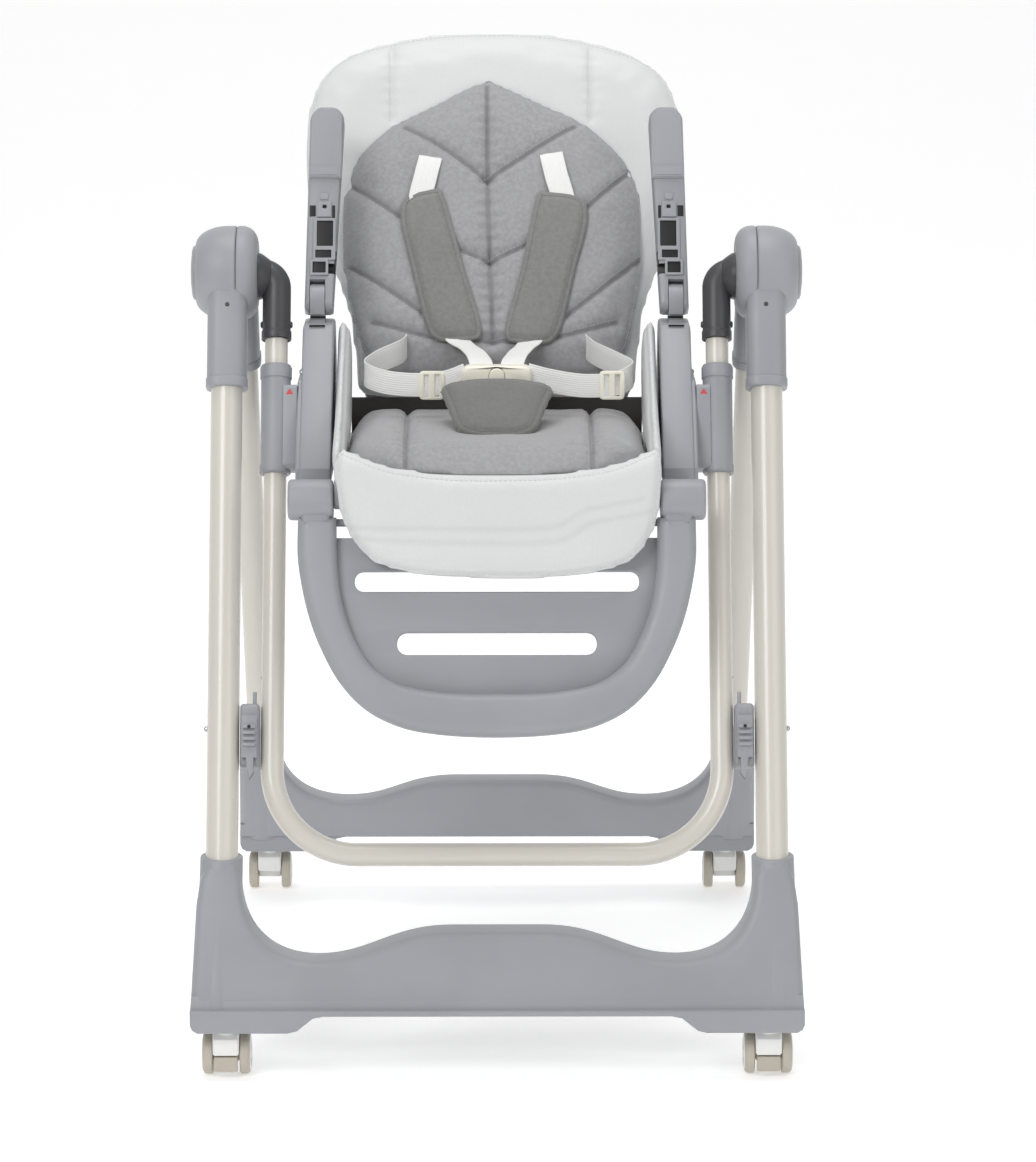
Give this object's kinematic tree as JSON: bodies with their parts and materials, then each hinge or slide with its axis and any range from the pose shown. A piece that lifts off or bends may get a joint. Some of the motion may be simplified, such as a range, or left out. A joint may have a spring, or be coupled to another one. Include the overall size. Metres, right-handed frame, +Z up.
{
  "type": "high chair",
  "caption": "Folding baby high chair on casters: A frame, padded reclining seat sliding on a U-shaped rail, fold-up armrests, footrest and harness.",
  "frame": {"origin": "on the floor, in the middle of the object's box", "axes": "+Z up, -Y to the front where the child faces, +X to the right as seen from the front"},
  "size_m": [0.62, 0.7376, 0.9815],
  "materials": {
    "grey_plastic": "fine satin moulded plastic",
    "dark_plastic": "dark satin plastic",
    "cream_tube": "warm white powder coat",
    "steel": "bright pin",
    "white_plastic": "white plastic",
    "ivory_plastic": "ivory plastic",
    "caster_tread": "beige wheel plastic",
    "white_leather": "white leatherette",
    "grey_fabric": "grey woven cloth, quilted",
    "pad_fabric": "mid grey cloth",
    "crotch_fabric": "dark grey cloth"
  },
  "bodies": {
    "front_frame": {"front_foot": "grey_plastic", "front_foot_base": "grey_plastic", "front_leg_left": "cream_tube", "front_leg_right": "cream_tube", "hub_housing_left": "grey_plastic", "hub_housing_right": "grey_plastic", "hub_axle_left": "steel", "hub_axle_right": "steel", "latch_body_left": "grey_plastic", "latch_body_right": "grey_plastic"},
    "rear_frame": {"rear_foot": "grey_plastic", "rear_foot_base": "grey_plastic", "rear_leg_left": "cream_tube", "rear_leg_right": "cream_tube", "rear_hub_left": "grey_plastic", "rear_hub_right": "grey_plastic"},
    "rail": {"seat_rail": "cream_tube", "elbow_left": "dark_plastic", "elbow_right": "dark_plastic"},
    "seat": {"seat_pan": "grey_plastic", "recline_rod": "steel", "seat_pad": "grey_fabric", "seat_front_pad": "white_leather", "crotch_pad": "crotch_fabric", "buckle": "ivory_plastic", "waist_adjuster_left": "ivory_plastic", "waist_adjuster_right": "ivory_plastic", "slide_bracket_left": "grey_plastic", "slide_bracket_right": "grey_plastic", "side_panel_left": "grey_plastic", "side_panel_right": "grey_plastic", "side_wing_left": "white_leather", "side_wing_right": "white_leather"},
    "backrest": {"backrest_shell": "grey_plastic", "back_pad": "white_leather", "back_insert": "grey_fabric", "shoulder_pad_left": "pad_fabric", "shoulder_pad_right": "pad_fabric"},
    "leg_rest": {"footrest": "grey_plastic", "calf_pad": "white_leather"},
    "armrest_left": {"armrest_left": "grey_plastic"},
    "armrest_right": {"armrest_right": "grey_plastic"},
    "recline_lever": {"recline_lever": "dark_plastic"},
    "buckle_button": {"buckle_button": "ivory_plastic"},
    "fold_button_left": {"fold_button_left": "grey_plastic"},
    "latch_slider_left": {"latch_slider_left": "dark_plastic"},
    "height_button_left": {"height_button_left": "dark_plastic"},
    "caster_brake_left": {"caster_brake_left": "caster_tread"},
    "caster_front_left": {"caster_hood_front_left": "white_plastic"},
    "wheels_front_left": {"caster_wheels_front_left": "caster_tread"},
    "caster_rear_left": {"caster_hood_rear_left": "white_plastic"},
    "wheels_rear_left": {"caster_wheels_rear_left": "caster_tread"},
    "fold_button_right": {"fold_button_right": "grey_plastic"},
    "latch_slider_right": {"latch_slider_right": "dark_plastic"},
    "height_button_right": {"height_button_right": "dark_plastic"},
    "caster_brake_right": {"caster_brake_right": "caster_tread"},
    "caster_front_right": {"caster_hood_front_right": "white_plastic"},
    "wheels_front_right": {"caster_wheels_front_right": "caster_tread"},
    "caster_rear_right": {"caster_hood_rear_right": "white_plastic"},
    "wheels_rear_right": {"caster_wheels_rear_right": "caster_tread"}
  },
  "joints": [
    {"name": "frame_fold", "type": "hinge", "parent": "front_frame", "child": "rear_frame", "pos_m": [0, -0.03475, 0.753], "axis": [-1, 0, 0], "range_deg": [0, 42]},
    {"name": "rail_swing", "type": "hinge", "parent": "front_frame", "child": "rail", "pos_m": [0, -0.03475, 0.753], "axis": [1, 0, 0], "range_deg": [0, 30]},
    {"name": "seat_height", "type": "slide", "parent": "rail", "child": "seat", "axis": [0, -0.4051, -0.9143], "range_m": [0, 0.22]},
    {"name": "recline", "type": "hinge", "parent": "seat", "child": "backrest", "pos_m": [0, 0.04025, 0.59], "axis": [-1, 0, 0], "range_deg": [-6, 32]},
    {"name": "leg_rest_angle", "type": "hinge", "parent": "seat", "child": "leg_rest", "pos_m": [0, -0.20975, 0.553], "axis": [-1, 0, 0], "range_deg": [0, 50]},
    {"name": "recline_lever_pull", "type": "slide", "parent": "backrest", "child": "recline_lever", "axis": [0, 0.4226, 0.9063], "range_m": [0, 0.006], "stiffness_N_per_m": 300},
    {"name": "buckle_button_press", "type": "slide", "parent": "seat", "child": "buckle_button", "axis": [0, 1, 0], "range_m": [0, 0.003], "stiffness_N_per_m": 300},
    {"name": "armrest_left_fold", "type": "hinge", "parent": "seat", "child": "armrest_left", "pos_m": [-0.183, -0.00975, 0.722], "axis": [1, 0, 0], "range_deg": [0, 117]},
    {"name": "fold_button_left_press", "type": "slide", "parent": "front_frame", "child": "fold_button_left", "axis": [1, 0, 0], "range_m": [0, 0.004], "stiffness_N_per_m": 400},
    {"name": "latch_left_slide", "type": "slide", "parent": "front_frame", "child": "latch_slider_left", "axis": [0, 0.4051, 0.9143], "range_m": [0, 0.012], "stiffness_N_per_m": 150, "springref_m": -0.004},
    {"name": "height_button_left_press", "type": "slide", "parent": "seat", "child": "height_button_left", "axis": [0, -0.9143, 0.4051], "range_m": [0, 0.0022], "stiffness_N_per_m": 400},
    {"name": "caster_front_left_swivel", "type": "hinge", "parent": "front_frame", "child": "caster_front_left", "pos_m": [-0.266, -0.34175, 0.05], "axis": [0, 0, 1], "continuous": true},
    {"name": "wheels_front_left_roll", "type": "hinge", "parent": "caster_front_left", "child": "wheels_front_left", "pos_m": [-0.266, -0.32975, 0.0205], "axis": [1, 0, 0], "continuous": true},
    {"name": "caster_rear_left_swivel", "type": "hinge", "parent": "rear_frame", "child": "caster_rear_left", "pos_m": [-0.257, 0.33625, 0.05], "axis": [0, 0, 1], "continuous": true},
    {"name": "wheels_rear_left_roll", "type": "hinge", "parent": "caster_rear_left", "child": "wheels_rear_left", "pos_m": [-0.257, 0.34825, 0.0205], "axis": [1, 0, 0], "continuous": true},
    {"name": "caster_brake_left_press", "type": "hinge", "parent": "caster_front_left", "child": "caster_brake_left", "pos_m": [-0.266, -0.34775, 0.0235], "axis": [1, 0, 0], "range_deg": [0, 15]},
    {"name": "armrest_right_fold", "type": "hinge", "parent": "seat", "child": "armrest_right", "pos_m": [0.183, -0.00975, 0.722], "axis": [1, 0, 0], "range_deg": [0, 117]},
    {"name": "fold_button_right_press", "type": "slide", "parent": "front_frame", "child": "fold_button_right", "axis": [-1, 0, 0], "range_m": [0, 0.004], "stiffness_N_per_m": 400},
    {"name": "latch_right_slide", "type": "slide", "parent": "front_frame", "child": "latch_slider_right", "axis": [0, 0.4051, 0.9143], "range_m": [0, 0.012], "stiffness_N_per_m": 150, "springref_m": -0.004},
    {"name": "height_button_right_press", "type": "slide", "parent": "seat", "child": "height_button_right", "axis": [0, -0.9143, 0.4051], "range_m": [0, 0.0022], "stiffness_N_per_m": 400},
    {"name": "caster_front_right_swivel", "type": "hinge", "parent": "front_frame", "child": "caster_front_right", "pos_m": [0.266, -0.34175, 0.05], "axis": [0, 0, 1], "continuous": true},
    {"name": "wheels_front_right_roll", "type": "hinge", "parent": "caster_front_right", "child": "wheels_front_right", "pos_m": [0.266, -0.32975, 0.0205], "axis": [1, 0, 0], "continuous": true},
    {"name": "caster_rear_right_swivel", "type": "hinge", "parent": "rear_frame", "child": "caster_rear_right", "pos_m": [0.257, 0.33625, 0.05], "axis": [0, 0, 1], "continuous": true},
    {"name": "wheels_rear_right_roll", "type": "hinge", "parent": "caster_rear_right", "child": "wheels_rear_right", "pos_m": [0.257, 0.34825, 0.0205], "axis": [1, 0, 0], "continuous": true},
    {"name": "caster_brake_right_press", "type": "hinge", "parent": "caster_front_right", "child": "caster_brake_right", "pos_m": [0.266, -0.34775, 0.0235], "axis": [1, 0, 0], "range_deg": [0, 15]}
  ]
}
